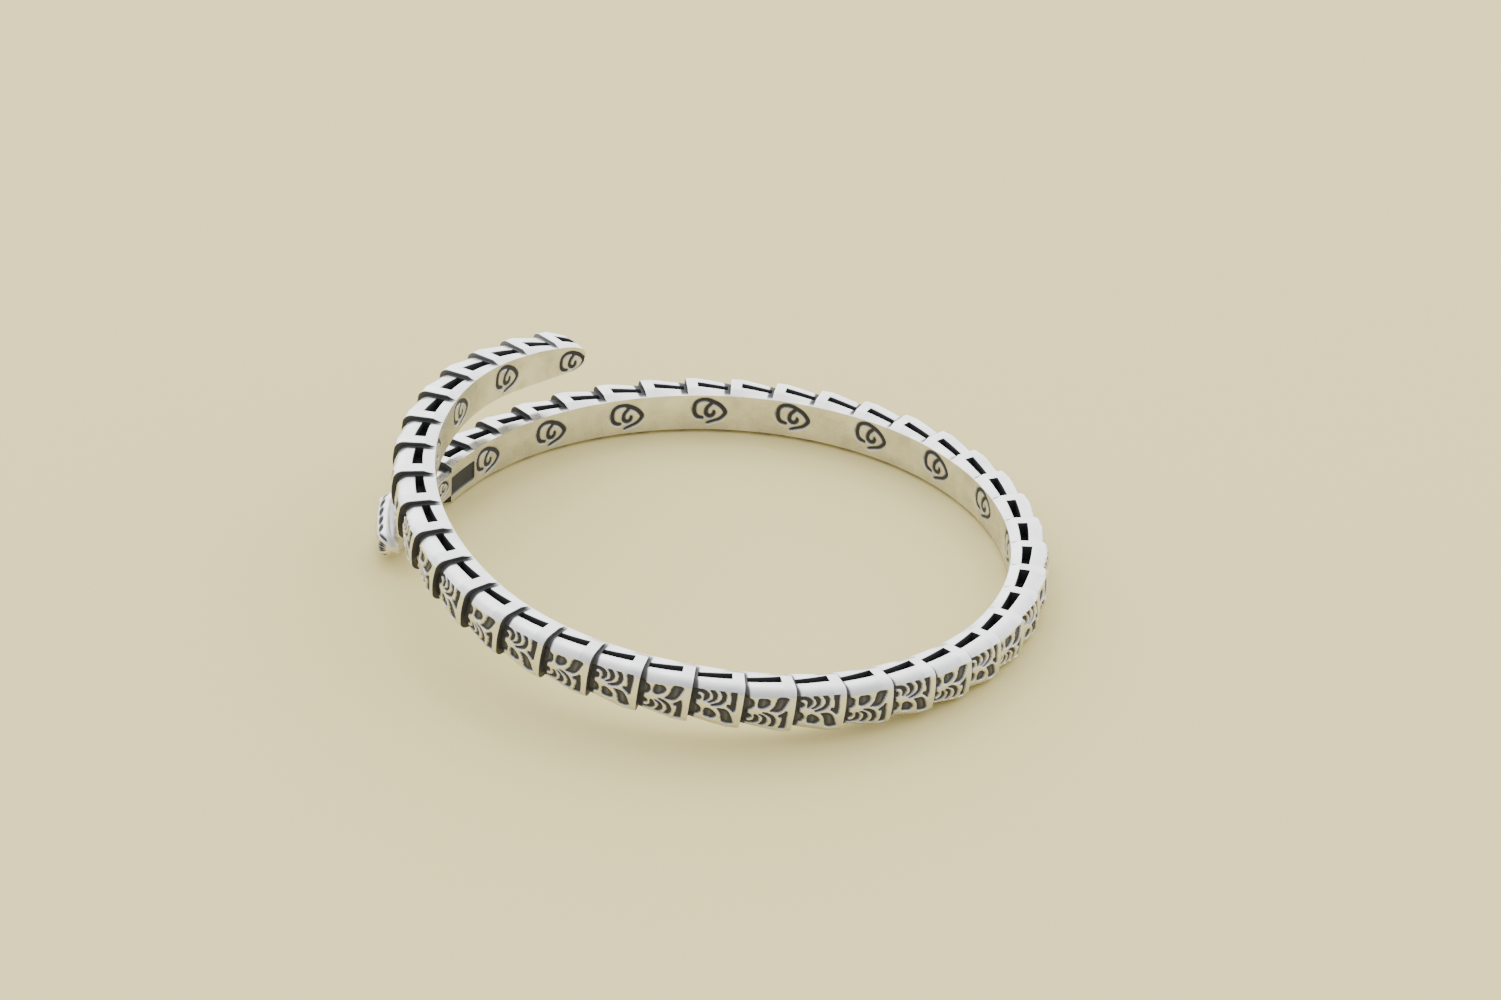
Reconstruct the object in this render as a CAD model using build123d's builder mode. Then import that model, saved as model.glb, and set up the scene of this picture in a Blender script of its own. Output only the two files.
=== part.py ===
"""Open bypass cuff bracelet in the form of a snake, cast in silver.

Millimetres, +Z up, lying on its edge as it does on a table. The wrist axis is
parallel to Z. The band is a run of funnel shaped scales: each one starts at a low
foot on the tail side, flares to a collar on the head side and steps down to the
next foot. The tail rises and passes over the neck, and the head lies flat.
"""

from build123d import *
import os
from math import cos, degrees, pi, radians, sin
from typing import NamedTuple

# Wrist opening and the run of scales, whose pitch is counted along the opening
inner_diameter = 58.5
pitch = 4.43
scale_count = 46
collar_length = 1.08
tip_azimuth = 126.1

# Band section at a collar, and the step down from it to a foot
band_height = 4.9
band_thickness = 4.1
inner_face_height = 4.1
inner_bevel = 1.1
edge_radius = 1.1
outer_crown = 0.12
foot_drop = 0.42
foot_set_back = 0.48
rest_flat = 0.02

# Slots beside the inner wall, sunk from both edges of the band
inner_wall = 1.38
slot_width = 0.9
slot_foot_width = 0.56
slot_depth = 1.65
slot_end_gap = 0.3

# Head, with its dorsal face outwards
head_length = 13.7
head_height = 5.2
head_thickness = 3.8
head_inner_share = 0.8
head_edge_share = 0.35
head_lift = 0.12
eye_diameter = 1.4
eye_spacing = 2.5
eye_place = 0.6
eye_sink = 0.44

# Tail tip, where the first scale starts
tip_start = 0.42
tip_edge_share = 0.3
tip_slot_start = 0.52

# Stretch of route on which its direction is read, in scales
direction_reach = 0.05


class Bend(NamedTuple):
    """One row of the route, counted in scales from the tail.

    reach moves the inner face outwards, as a share of the band's thickness. rise
    lifts the middle of the band, as a share of its height. height and thickness
    are the section's size, as shares of the band's own.
    """

    scale: float
    reach: float
    rise: float
    height: float
    thickness: float


class Ring(NamedTuple):
    """One cross section of the head or the tail tip.

    along is a share of the length. height and thickness are shares of the head's
    or the band's own height and thickness.
    """

    along: float
    height: float
    thickness: float


route = [
    Bend(scale=0.0, reach=0.0, rise=1.65, height=0.64, thickness=1.06),
    Bend(scale=1.0, reach=-0.082, rise=1.74, height=0.765, thickness=1.06),
    Bend(scale=2.0, reach=-0.154, rise=1.836, height=0.91, thickness=1.06),
    Bend(scale=4.0, reach=-0.169, rise=1.953, height=0.96, thickness=1.07),
    Bend(scale=7.0, reach=-0.133, rise=1.788, height=1.0, thickness=1.08),
    Bend(scale=10.0, reach=-0.051, rise=1.395, height=1.0, thickness=1.06),
    Bend(scale=14.0, reach=0.077, rise=0.838, height=1.0, thickness=1.03),
    Bend(scale=17.0, reach=0.082, rise=0.541, height=1.0, thickness=1.0),
    Bend(scale=21.0, reach=0.133, rise=0.17, height=1.0, thickness=0.99),
    Bend(scale=25.0, reach=0.102, rise=0.0, height=1.0, thickness=0.98),
    Bend(scale=33.0, reach=0.118, rise=0.0, height=1.0, thickness=1.0),
    Bend(scale=40.0, reach=0.051, rise=0.0, height=1.0, thickness=1.0),
    Bend(scale=44.0, reach=0.102, rise=0.0, height=1.0, thickness=1.0),
    Bend(scale=46.0, reach=0.149, rise=0.0, height=1.0, thickness=1.0),
    Bend(scale=47.0, reach=0.235, rise=0.0, height=1.0, thickness=1.0),
    Bend(scale=48.0, reach=0.46, rise=0.0, height=1.0, thickness=1.0),
    Bend(scale=49.0, reach=0.7, rise=0.0, height=1.0, thickness=1.0),
    Bend(scale=50.0, reach=0.82, rise=0.0, height=1.0, thickness=1.0),
]

head_rings = [
    Ring(along=0.0, height=0.62, thickness=0.72),
    Ring(along=0.2, height=0.64, thickness=0.7),
    Ring(along=0.42, height=0.84, thickness=0.74),
    Ring(along=0.62, height=1.0, thickness=0.98),
    Ring(along=0.86, height=0.62, thickness=0.7),
    Ring(along=0.96, height=0.45, thickness=0.56),
    Ring(along=1.0, height=0.22, thickness=0.35),
]

tip_rings = [
    Ring(along=0.0, height=0.28, thickness=0.4),
    Ring(along=0.16, height=0.46, thickness=0.66),
    Ring(along=0.45, height=0.64, thickness=0.88),
    Ring(along=1.0, height=0.765, thickness=1.06),
]

# Sizes that follow from the ones above
inner_radius = inner_diameter / 2
scale_turn = degrees(pitch / inner_radius)
collar_share = collar_length / pitch
foot_height = band_height - 2 * foot_drop
head_start = scale_count + collar_share


def eased(column: str, scale: float) -> float:
    """Read one column of the route, smoothly and without overshoot."""
    places = [row.scale for row in route]
    values = [getattr(row, column) for row in route]
    last = len(route) - 1
    rates = [(values[k + 1] - values[k]) / (places[k + 1] - places[k]) for k in range(last)]
    slopes = [rates[0]]
    for before, after in zip(rates, rates[1:]):
        slopes.append(2 * before * after / (before + after) if before * after > 0 else 0.0)
    slopes.append(rates[-1])
    k = max(index for index in range(last) if index == 0 or places[index] <= scale)
    span = places[k + 1] - places[k]
    t = (scale - places[k]) / span
    start = (1 + 2 * t) * (1 - t) ** 2 * values[k] + t * (1 - t) ** 2 * span * slopes[k]
    end = t * t * (3 - 2 * t) * values[k + 1] - t * t * (1 - t) * span * slopes[k + 1]
    return start + end


def route_point(scale: float) -> Vector:
    """Middle of the band's inner face at a place counted in scales from the tail."""
    azimuth = radians(tip_azimuth + scale_turn * (scale - 1))
    radius = inner_radius + eased("reach", scale) * band_thickness
    middle = (0.5 + eased("rise", scale)) * band_height
    return Vector(radius * cos(azimuth), radius * sin(azimuth), middle)


def section_plane(scale: float, lift: float = 0.0) -> Plane:
    """Plane square to the route: its X points outwards and its Y up the band."""
    along = route_point(scale + direction_reach) - route_point(scale - direction_reach)
    outwards = Vector(along.Y, -along.X, 0)
    return Plane(origin=route_point(scale) + Vector(0, 0, lift), x_dir=outwards, z_dir=-along)


def band_section(plane: Plane, height: float, thickness: float,
                 inner_height: float, radius: float) -> Sketch:
    """Section with a flat inner face, bevelled inner edges and round outer edges."""
    half = height / 2
    inner_half = inner_height / 2
    bevel = inner_bevel * thickness / band_thickness
    flank = thickness - outer_crown * height / band_height
    turn = flank - radius
    corner = radius * cos(pi / 4)
    inner_side = [(turn, half), (bevel, half), (0, inner_half),
                  (0, -inner_half), (bevel, -half), (turn, -half)]
    with BuildSketch(plane) as section:
        with BuildLine():
            Polyline(*inner_side)
            ThreePointArc((turn, -half), (turn + corner, radius - half - corner), (flank, radius - half))
            ThreePointArc((flank, radius - half), (thickness, 0), (flank, half - radius))
            ThreePointArc((flank, half - radius), (turn + corner, half - radius + corner), (turn, half))
        make_face()
    return section.sketch


def collar_section(scale: float) -> Sketch:
    """Section of the band where a scale has its full size."""
    share = eased("height", scale)
    thickness = band_thickness * eased("thickness", scale)
    return band_section(section_plane(scale), band_height * share, thickness,
                        inner_face_height * share, edge_radius * share)


def foot_section(scale: float) -> Sketch:
    """Section of the band where a scale starts, stepped down from the last collar."""
    share = eased("height", scale)
    thickness = band_thickness * eased("thickness", scale) - foot_set_back
    inner_height = min(inner_face_height, foot_height) * share
    return band_section(section_plane(scale), foot_height * share, thickness,
                        inner_height, edge_radius * share)


def slot_mouth(scale: float, width: float, side: int) -> Sketch:
    """Section of a slot at one place: side is 1 at the band's top and -1 at its bottom."""
    share = eased("height", scale)
    floor = (band_height / 2 - slot_depth) * share
    align = (Align.MIN, Align.MIN if side > 0 else Align.MAX)
    with BuildSketch(section_plane(scale)) as mouth:
        with Locations((inner_wall, side * floor)):
            Rectangle(width * share, band_height * share, align=align)
    return mouth.sketch


def scale_part(number: int) -> Part:
    """One scale with its two slots."""
    foot = number - 1 + collar_share
    slot_start = foot + slot_end_gap / pitch
    with BuildPart() as scale:
        loft([foot_section(foot), collar_section(number), collar_section(number + collar_share)], ruled=True)
        for side in (1, -1):
            slot = [slot_mouth(slot_start, slot_foot_width, side), slot_mouth(number, slot_width, side)]
            loft(slot, ruled=True, mode=Mode.SUBTRACT)
    return scale.part


def tip_section(ring: Ring) -> Sketch:
    """Section of the tail tip at one of its rings."""
    plane = section_plane(tip_start + ring.along * (1 - tip_start))
    height = band_height * ring.height
    thickness = band_thickness * ring.thickness
    inner_height = height * inner_face_height / band_height
    return band_section(plane, height, thickness, inner_height, min(height, thickness) * tip_edge_share)


def head_plane(along: float, height: float) -> Plane:
    """Plane square to the head, lifted until a section of this height lies on the table."""
    lift = head_lift + max(0.0, height - band_height) / 2
    return section_plane(head_start + along * head_length / pitch, lift)


def head_section(ring: Ring) -> Sketch:
    """Section of the head at one of its rings."""
    height = head_height * ring.height
    thickness = head_thickness * ring.thickness
    return band_section(head_plane(ring.along, height), height, thickness,
                        height * head_inner_share, thickness * head_edge_share)


scales = [scale_part(number) for number in range(2, scale_count + 1)]

with BuildPart() as tip:
    tip_collar = collar_section(1 + collar_share)
    loft([tip_section(ring) for ring in tip_rings] + [tip_collar], ruled=True)
    for side in (1, -1):
        tip_slot = [slot_mouth(tip_slot_start, slot_foot_width, side), slot_mouth(1, slot_foot_width, side)]
        loft(tip_slot, ruled=True, mode=Mode.SUBTRACT)

with BuildPart() as head:
    loft([head_section(ring) for ring in head_rings])
    for side in (1, -1):
        eye_centre = (head_thickness - eye_diameter * eye_sink, side * eye_spacing / 2, 0)
        with Locations(head_plane(eye_place, head_height).from_local_coords(eye_centre)):
            Sphere(eye_diameter / 2)

# The collars that touch the table are ground flat there
with BuildPart() as cuff:
    add([tip.part, *scales, head.part])
    split(bisect_by=Plane.XY.offset(rest_flat), keep=Keep.TOP)

# The origin is under the middle of the finished cuff, on the surface that it lies on
extent = cuff.part.bounding_box()
wrist_axis = Vector(-extent.center().X, -extent.center().Y, -extent.min.Z)
finished = cuff.part.moved(Location(wrist_axis))
print("wrist axis", wrist_axis, "valid", finished.is_valid, "volume", round(finished.volume, 1))
print("size", finished.bounding_box().size, "solids", len(finished.solids()))

os.makedirs("parts", exist_ok=True)
finished.label = "cuff"
export_step(finished, "parts/cuff.step")
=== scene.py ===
"""Looks of the open snake cuff: a cast silver band of funnel shaped scales, its raised
tail and its flat head, on a plain pale floor under soft studio light.

Lengths are in millimetres in the classes, and become metres where a mesh is placed.
"""

import logging
from dataclasses import dataclass
from enum import Enum
from math import cos, pi, radians, sin
from typing import NamedTuple

import bmesh
import bpy
import numpy as np
from mathutils import Matrix, Vector


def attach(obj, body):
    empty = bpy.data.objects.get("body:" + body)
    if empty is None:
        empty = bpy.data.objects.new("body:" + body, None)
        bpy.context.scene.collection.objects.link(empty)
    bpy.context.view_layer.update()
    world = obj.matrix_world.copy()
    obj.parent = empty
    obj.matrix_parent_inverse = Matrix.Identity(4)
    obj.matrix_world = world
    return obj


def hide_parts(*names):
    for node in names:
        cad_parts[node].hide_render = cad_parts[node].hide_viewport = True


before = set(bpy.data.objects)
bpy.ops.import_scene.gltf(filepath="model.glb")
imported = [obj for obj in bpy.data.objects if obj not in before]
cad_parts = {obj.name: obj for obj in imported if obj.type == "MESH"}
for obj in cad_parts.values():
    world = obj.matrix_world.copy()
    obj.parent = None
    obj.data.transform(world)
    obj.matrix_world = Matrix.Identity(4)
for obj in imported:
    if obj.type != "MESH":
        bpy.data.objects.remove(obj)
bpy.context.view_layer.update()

log = logging.getLogger("cuff")
MM = 0.001

# Marks a point of a section's outline that isn't on the face in question
ELSEWHERE = 9.0
# Gaps between rings, in scales: of two at one place, from a slot's end to the ring beside
# it, and from that end to the nearest ring of the body
HAIR = 1e-6
RING_GAP = 0.002
RING_CLEAR = 0.006
# Widths in metres below which points are merged and edges dissolved, and a sharp edge's angle
SEAM = 2e-7
SLIVER = 1e-8
CREASE = radians(48)


class Facing(Enum):
    """Which way up the relief of a scale is cast."""

    CRESCENTS_UP = 1
    CRESCENTS_DOWN = -1


class Bend(NamedTuple):
    """Row of the route: a place in scales, and what the band's sizes are multiplied by there."""

    scale: float
    reach: float
    rise: float
    height: float
    thickness: float


class Ring(NamedTuple):
    """Section of the head or the tip: a share of its length, and shares of its full size."""

    along: float
    height: float
    thickness: float


class SlotSize(NamedTuple):
    """Slots of one scale: distance from the inner face, and width at the collar."""

    number: float
    wall: float
    width: float


class StepShade(NamedTuple):
    """Oxide on the wall behind one scale's collar, and how far painted shade from the step reaches over the
    next foot.
    """

    number: float
    film: float
    reach: float


class ScrollPlace(NamedTuple):
    """Scroll of one scale: height above the band's middle, and shift towards the head."""

    number: float
    rise: float
    shift: float


class SmallScroll(NamedTuple):
    """Smaller scroll at an end: place, size as a share of the others, turn and oxide."""

    along: float
    up: float
    size: float
    turn: float = 0.0
    film: float = 0.94


class Panel(NamedTuple):
    """Sunk rectangle in the inner face: its ends in scales, its lowest and highest point."""

    first: float
    last: float
    low: float
    high: float


class Noise(NamedTuple):
    """Noise texture, with the strength and the height in metres of the bump it makes."""

    scale: float
    detail: float
    strength: float = 0.0
    height: float = 0.0


def step(distance: np.ndarray, wall: float) -> np.ndarray:
    """Turn a signed distance into a share of the full depth.

    Args:
        distance: Signed distance to a recess, negative inside it.
        wall: Width of the recess's wall, in the same unit.

    Returns:
        1 inside the recess, 0 outside it, and a smooth rise across its wall.
    """
    rise = np.clip(0.5 - distance / wall, 0.0, 1.0)
    return rise * rise * (3.0 - 2.0 * rise)


class Span(NamedTuple):
    """Stretch with soft ends: where it starts and ends, and the width of each fade."""

    first: float
    last: float
    fade_in: float
    fade_out: float

    def soften(self, places: np.ndarray) -> np.ndarray:
        """Find what is in the stretch: 1 inside it, and 0 outside."""
        return step(self.first - places, self.fade_in) * step(places - self.last, self.fade_out)


def hermite(rows: tuple[NamedTuple, ...], column: str, places: np.ndarray) -> np.ndarray:
    """Read one column of a table smoothly and without overshoot.

    Args:
        rows: Table whose first column is the place.
        column: Name of the column to read.
        places: Places to read it at.

    Returns:
        The column's value at each place.
    """
    knots = np.array([row[0] for row in rows], float)
    values = np.array([getattr(row, column) for row in rows], float)
    spans = np.diff(knots)
    rates = np.diff(values) / spans
    product = rates[:-1] * rates[1:]
    total = np.where(product > 0, rates[:-1] + rates[1:], 1.0)
    slopes = np.concatenate([rates[:1], np.where(product > 0, 2 * product / total, 0.0), rates[-1:]])
    k = np.clip(np.searchsorted(knots, places, side="right") - 1, 0, len(spans) - 1)
    t = (places - knots[k]) / spans[k]
    start = (1 + 2 * t) * (1 - t) ** 2 * values[k] + t * (1 - t) ** 2 * spans[k] * slopes[k]
    end = t * t * (3 - 2 * t) * values[k + 1] - t * t * (1 - t) * spans[k] * slopes[k + 1]
    return start + end


@dataclass(frozen=True)
class Route:
    """Line that the band follows, counted in scales from the tail."""

    inner_radius: float = 29.25
    band_thickness: float = 4.1
    band_height: float = 4.9
    scale_turn: float = 8.67757
    tip_azimuth: float = 126.1
    direction_reach: float = 0.05
    centre: tuple[float, float, float] = (0.605937, 0.023984, -0.02)
    bends: tuple[Bend, ...] = (
        Bend(0.0, 0.0, 1.65, 0.64, 1.06), Bend(1.0, -0.082, 1.74, 0.765, 1.06),
        Bend(2.0, -0.154, 1.836, 0.91, 1.06), Bend(4.0, -0.169, 1.953, 0.96, 1.07),
        Bend(7.0, -0.133, 1.788, 1.0, 1.08), Bend(10.0, -0.051, 1.395, 1.0, 1.06),
        Bend(14.0, 0.077, 0.838, 1.0, 1.03), Bend(17.0, 0.082, 0.541, 1.0, 1.0),
        Bend(21.0, 0.133, 0.17, 1.0, 0.99), Bend(25.0, 0.102, 0.0, 1.0, 0.98),
        Bend(33.0, 0.118, 0.0, 1.0, 1.0), Bend(40.0, 0.051, 0.0, 1.0, 1.0),
        Bend(44.0, 0.102, 0.0, 1.0, 1.0), Bend(46.0, 0.149, 0.0, 1.0, 1.0),
        Bend(47.0, 0.235, 0.0, 1.0, 1.0), Bend(48.0, 0.46, 0.0, 1.0, 1.0),
        Bend(49.0, 0.7, 0.0, 1.0, 1.0), Bend(50.0, 0.82, 0.0, 1.0, 1.0),
    )

    def share(self, column: str, places: np.ndarray) -> np.ndarray:
        """Read reach, rise, height or thickness at places counted in scales."""
        return hermite(self.bends, column, places)

    def points(self, places: np.ndarray) -> np.ndarray:
        """Find the middle of the band's inner face.

        Args:
            places: Places counted in scales from the tail.

        Returns:
            One row of x, y and z for each place.
        """
        azimuth = np.radians(self.tip_azimuth + self.scale_turn * (places - 1))
        radius = self.inner_radius + self.share("reach", places) * self.band_thickness
        middle = (0.5 + self.share("rise", places)) * self.band_height
        line = np.stack([radius * np.cos(azimuth), radius * np.sin(azimuth), middle], axis=1)
        return line + np.array(self.centre)

    def place(self, places: np.ndarray, outwards: np.ndarray, upwards: np.ndarray) -> np.ndarray:
        """Put section coordinates on the route.

        Args:
            places: Place of each row, counted in scales.
            outwards: Distance from the inner face, one row for each place.
            upwards: Height above the middle of the band, one row for each place.

        Returns:
            Points in millimetres, by row, column and axis.
        """
        reach = self.direction_reach
        along = self.points(places + reach) - self.points(places - reach)
        along /= np.linalg.norm(along, axis=1, keepdims=True)
        out = np.stack([along[:, 1], -along[:, 0], np.zeros(len(places))], axis=1)
        out /= np.linalg.norm(out, axis=1, keepdims=True)
        up = np.cross(out, along)
        points = (self.points(places)[:, None, :] + outwards[:, :, None] * out[:, None, :]
                  + upwards[:, :, None] * up[:, None, :])
        # The collars are ground flat where they touch the table
        points[:, :, 2] = np.maximum(points[:, :, 2], 0.0)
        return points


@dataclass
class Section:
    """Cross sections of the band at a run of places, one row for each.

    All lengths are arrays with one value for each place. slot_open is 1 where the
    slots are open and 0 where the edge is closed. inset draws the section in, as at a
    rounded end.
    """

    half: np.ndarray
    inner_half: np.ndarray
    thickness: np.ndarray
    bevel: np.ndarray
    radius: np.ndarray
    crown: np.ndarray
    relief_half: np.ndarray
    slot_wall: np.ndarray
    slot_width: np.ndarray
    slot_floor: np.ndarray
    slot_open: np.ndarray
    inset: np.ndarray


@dataclass(frozen=True)
class Zones:
    """How many strips of faces each part of the section's outline has."""

    inner: int = 36
    bevel: int = 3
    ledge: int = 2
    wall: int = 3
    floor: int = 2
    shoulder: int = 4
    corner: int = 4
    relief: int = 50
    # width of the small bevel along a slot's lips
    lip: float = 0.05


@dataclass
class Outline:
    """Points around each section, with what the finish has to know about them.

    inner_place is the height on the inner face, and relief_place is the place across
    the relief, from 1 at its top to -1 at its bottom. Both are ELSEWHERE off their face.
    slot is 1 between a slot's walls. oxide is how black and polish how worn bright each
    point is, from 0 to 1.
    """

    outwards: np.ndarray
    upwards: np.ndarray
    normal_out: np.ndarray
    normal_up: np.ndarray
    inner_place: np.ndarray
    relief_place: np.ndarray
    slot: np.ndarray
    oxide: np.ndarray
    polish: np.ndarray

    def inner_columns(self) -> np.ndarray:
        """Find the columns that are on the inner face."""
        return np.flatnonzero(np.abs(self.inner_place[0]) < ELSEWHERE)

    def relief_columns(self) -> np.ndarray:
        """Find the columns that are on the relief."""
        return np.flatnonzero(np.abs(self.relief_place[0]) <= 1.0001)

    def sink(self, depth: np.ndarray, columns: np.ndarray | slice = slice(None)) -> None:
        """Move the points of these columns in along their normals."""
        self.outwards[:, columns] -= self.normal_out[:, columns] * depth
        self.upwards[:, columns] -= self.normal_up[:, columns] * depth

    def blacken(self, film: np.ndarray, columns: np.ndarray | slice = slice(None)) -> None:
        """Raise the oxide of these columns."""
        self.oxide[:, columns] = np.maximum(self.oxide[:, columns], film)

    def shine(self, wear: np.ndarray, columns: np.ndarray | slice = slice(None)) -> None:
        """Raise the polish of these columns."""
        self.polish[:, columns] = np.maximum(self.polish[:, columns], wear)


@dataclass(frozen=True)
class OutlineMaker:
    """Lays out the strips of a section: up the inner face, over the top, down the
    outer face and back under the bottom."""

    zones: Zones = Zones()
    # depth from the inner face over which the rounding of an end sets in
    end_fade: float = 0.6

    def edge_strip(self, s: Section) -> tuple[np.ndarray, np.ndarray, np.ndarray]:
        """Lay out one edge of the band, from its inner bevel to its round corner.

        Args:
            s: Sections of the band.

        Returns:
            Distance outwards, height, and 1 between the slot's walls.
        """
        z = self.zones
        turn = s.thickness - s.crown - s.radius
        first, last = s.slot_wall, s.slot_wall + s.slot_width
        lip = z.lip * s.slot_open
        floor = s.half - (s.half - s.slot_floor) * s.slot_open
        ledge = [s.bevel + (first - lip - s.bevel) * k / z.ledge for k in range(z.ledge + 1)]
        down = [first + 0.02 * (last - first) * k / z.wall for k in range(z.wall + 1)]
        flat = [first + (last - first) * (0.02 + 0.96 * k / z.floor) for k in range(1, z.floor)]
        rise = [last - 0.02 * (last - first) * (1 - k / z.wall) for k in range(z.wall + 1)]
        # A closed slot spreads its strips over the flat edge
        closed = np.linspace(0.0, 1.0, len(down) + len(flat) + len(rise))
        inside = down + flat + rise
        inside = [x * s.slot_open + (first + (last - first) * c) * (1 - s.slot_open)
                  for x, c in zip(inside, closed)]
        shoulder = [last + lip + (turn - last - lip) * k / z.shoulder for k in range(z.shoulder + 1)]
        sunk = [s.half - lip - (s.half - lip - floor) * k / z.wall for k in range(z.wall + 1)]
        heights = [s.half] * len(ledge) + sunk + [floor] * len(flat) + sunk[::-1] + [s.half] * len(shoulder)
        out = np.stack(ledge + inside + shoulder, axis=1)
        up = np.stack(heights, axis=1)
        between = np.zeros_like(out)
        between[:, z.ledge + 1:-z.shoulder - 1] = 1.0
        return out, up, between

    def outer_strip(self, s: Section) -> tuple[np.ndarray, ...]:
        """Lay out the outer side, from the top's round corner to the bottom's.

        Args:
            s: Sections of the band.

        Returns:
            Distance outwards, height, both parts of the normal, and the place
            across the relief, from 1 at its top to -1 at its bottom.
        """
        z = self.zones
        flank = s.thickness - s.crown
        straight = s.half - s.radius
        reach = straight + s.radius * pi / 2
        across = np.linspace(1.0, -1.0, z.relief + 1)
        fall = np.linspace(1.0, 0.0, z.corner + 1)[:-1]
        top = s.relief_half[:, None] + (reach - s.relief_half)[:, None] * fall[None, :]
        arc = np.concatenate([top, s.relief_half[:, None] * across[None, :], -top[:, ::-1]], axis=1)
        size = np.abs(arc)
        turned = np.clip((size - straight[:, None]) / s.radius[:, None], 0.0, pi / 2)
        level = np.minimum(size, straight[:, None]) / np.maximum(straight, 1e-6)[:, None]
        out = np.where(turned > 0, (flank - s.radius)[:, None] + s.radius[:, None] * np.cos(turned),
                       flank[:, None] + s.crown[:, None] * (1 - level ** 2))
        up = np.sign(arc) * (np.minimum(size, straight[:, None]) + s.radius[:, None] * np.sin(turned))
        slope = 2 * s.crown[:, None] * level / np.maximum(straight, 1e-6)[:, None]
        lean = np.where(turned > 0, turned, slope)
        return out, up, np.cos(lean), np.sign(arc) * np.sin(lean), arc / s.relief_half[:, None]

    def outline(self, s: Section) -> Outline:
        """Lay out the whole section.

        Args:
            s: Sections of the band.

        Returns:
            The points around each section, the first one repeated at the end.
        """
        z = self.zones
        rows = len(s.half)
        inner = np.linspace(-1.0, 1.0, z.inner + 1)
        inner_up = s.inner_half[:, None] * inner[None, :]
        rise = np.linspace(0.0, 1.0, z.bevel + 1)[1:-1]
        bevel_out = s.bevel[:, None] * rise[None, :]
        bevel_up = s.inner_half[:, None] + (s.half - s.inner_half)[:, None] * rise[None, :]
        edge_out, edge_up, between = self.edge_strip(s)
        outer_out, outer_up, outer_no, outer_nu, across = self.outer_strip(s)
        keep = slice(1, -1)
        parts_out = [np.zeros_like(inner_up), bevel_out, edge_out, outer_out[:, keep],
                     edge_out[:, ::-1], bevel_out[:, ::-1], np.zeros((rows, 1))]
        parts_up = [inner_up, bevel_up, edge_up, outer_up[:, keep],
                    -edge_up[:, ::-1], -bevel_up[:, ::-1], inner_up[:, :1]]
        flat = [np.zeros_like(part) for part in parts_out]
        none = [np.full_like(part, ELSEWHERE) for part in parts_out]
        slope = np.arctan2(s.bevel, np.maximum(s.half - s.inner_half, 1e-6))[:, None]
        bevel_no, bevel_nu = -np.cos(slope) + 0 * bevel_out, np.sin(slope) + 0 * bevel_out
        normal_out = [flat[0] - 1.0, bevel_no, flat[2], outer_no[:, keep], flat[4], bevel_no, flat[6] - 1.0]
        normal_up = [flat[0], bevel_nu, flat[2] + 1.0, outer_nu[:, keep], flat[4] - 1.0, -bevel_nu, flat[6]]
        slots = [flat[0], flat[1], between, flat[3], between[:, ::-1], flat[5], flat[6]]
        relief = none[:3] + [across[:, keep]] + none[4:]
        inward = [inner_up] + none[1:]
        outline = Outline(*(np.concatenate(parts, axis=1) for parts in (
            parts_out, parts_up, normal_out, normal_up, inward, relief, slots, flat, flat)))
        # The rounding of an end leaves the inner face alone
        outline.sink(np.clip(outline.outwards / self.end_fade, 0.0, 1.0) * s.inset[:, None])
        return outline


def rounded(points: tuple, steps: int = 4) -> np.ndarray:
    """Round a line of points off.

    Args:
        points: Rows that the line passes through, of any number of columns.
        steps: Pieces between each two rows.

    Returns:
        More rows, along the rounded line.
    """
    rows = np.array(points, float)
    rows = np.concatenate([2 * rows[:1] - rows[1:2], rows, 2 * rows[-1:] - rows[-2:-1]])
    t = np.linspace(0.0, 1.0, steps, endpoint=False)[:, None]
    line = [0.5 * (2 * b + (c - a) * t + (2 * a - 5 * b + 4 * c - d) * t ** 2
                   + (3 * b - a - 3 * c + d) * t ** 3)
            for a, b, c, d in zip(rows[:-3], rows[1:-2], rows[2:-1], rows[3:])]
    return np.concatenate(line + [rows[-2:-1]])


def stroke(x: np.ndarray, y: np.ndarray, rows: tuple) -> np.ndarray:
    """Find the distance to a line cut by a tapering tool.

    Args:
        x: Places along the field.
        y: Places across the field.
        rows: Points of the line, each with the stroke's half width there.

    Returns:
        Distance from the stroke's edge, negative inside.
    """
    line = rounded(rows)
    best = np.full(x.shape, 99.0)
    for start, end in zip(line[:-1], line[1:]):
        run = end - start
        t = ((x - start[0]) * run[0] + (y - start[1]) * run[1]) / (run[0] ** 2 + run[1] ** 2)
        t = np.clip(t, 0.0, 1.0)
        away = np.hypot(x - start[0] - t * run[0], y - start[1] - t * run[1])
        best = np.minimum(best, away - start[2] - t * run[2])
    return best


def patch(x: np.ndarray, y: np.ndarray, corners: tuple) -> np.ndarray:
    """Find the distance to a patch with rounded corners.

    Args:
        x: Places along the field.
        y: Places across the field.
        corners: Points of its outline, in order.

    Returns:
        Distance from its edge, negative inside.
    """
    line = rounded(corners + corners[:1])
    away = np.full(x.shape, 99.0)
    inside = np.zeros(x.shape, bool)
    for start, end in zip(line[:-1], line[1:]):
        run = end - start
        t = np.clip(((x - start[0]) * run[0] + (y - start[1]) * run[1]) / (run @ run), 0.0, 1.0)
        away = np.minimum(away, np.hypot(x - start[0] - t * run[0], y - start[1] - t * run[1]))
        if run[1]:
            crossed = (start[1] > y) != (end[1] > y)
            inside ^= crossed & (x < start[0] + (y - start[1]) * run[0] / run[1])
    return np.where(inside, -away, away)


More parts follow.
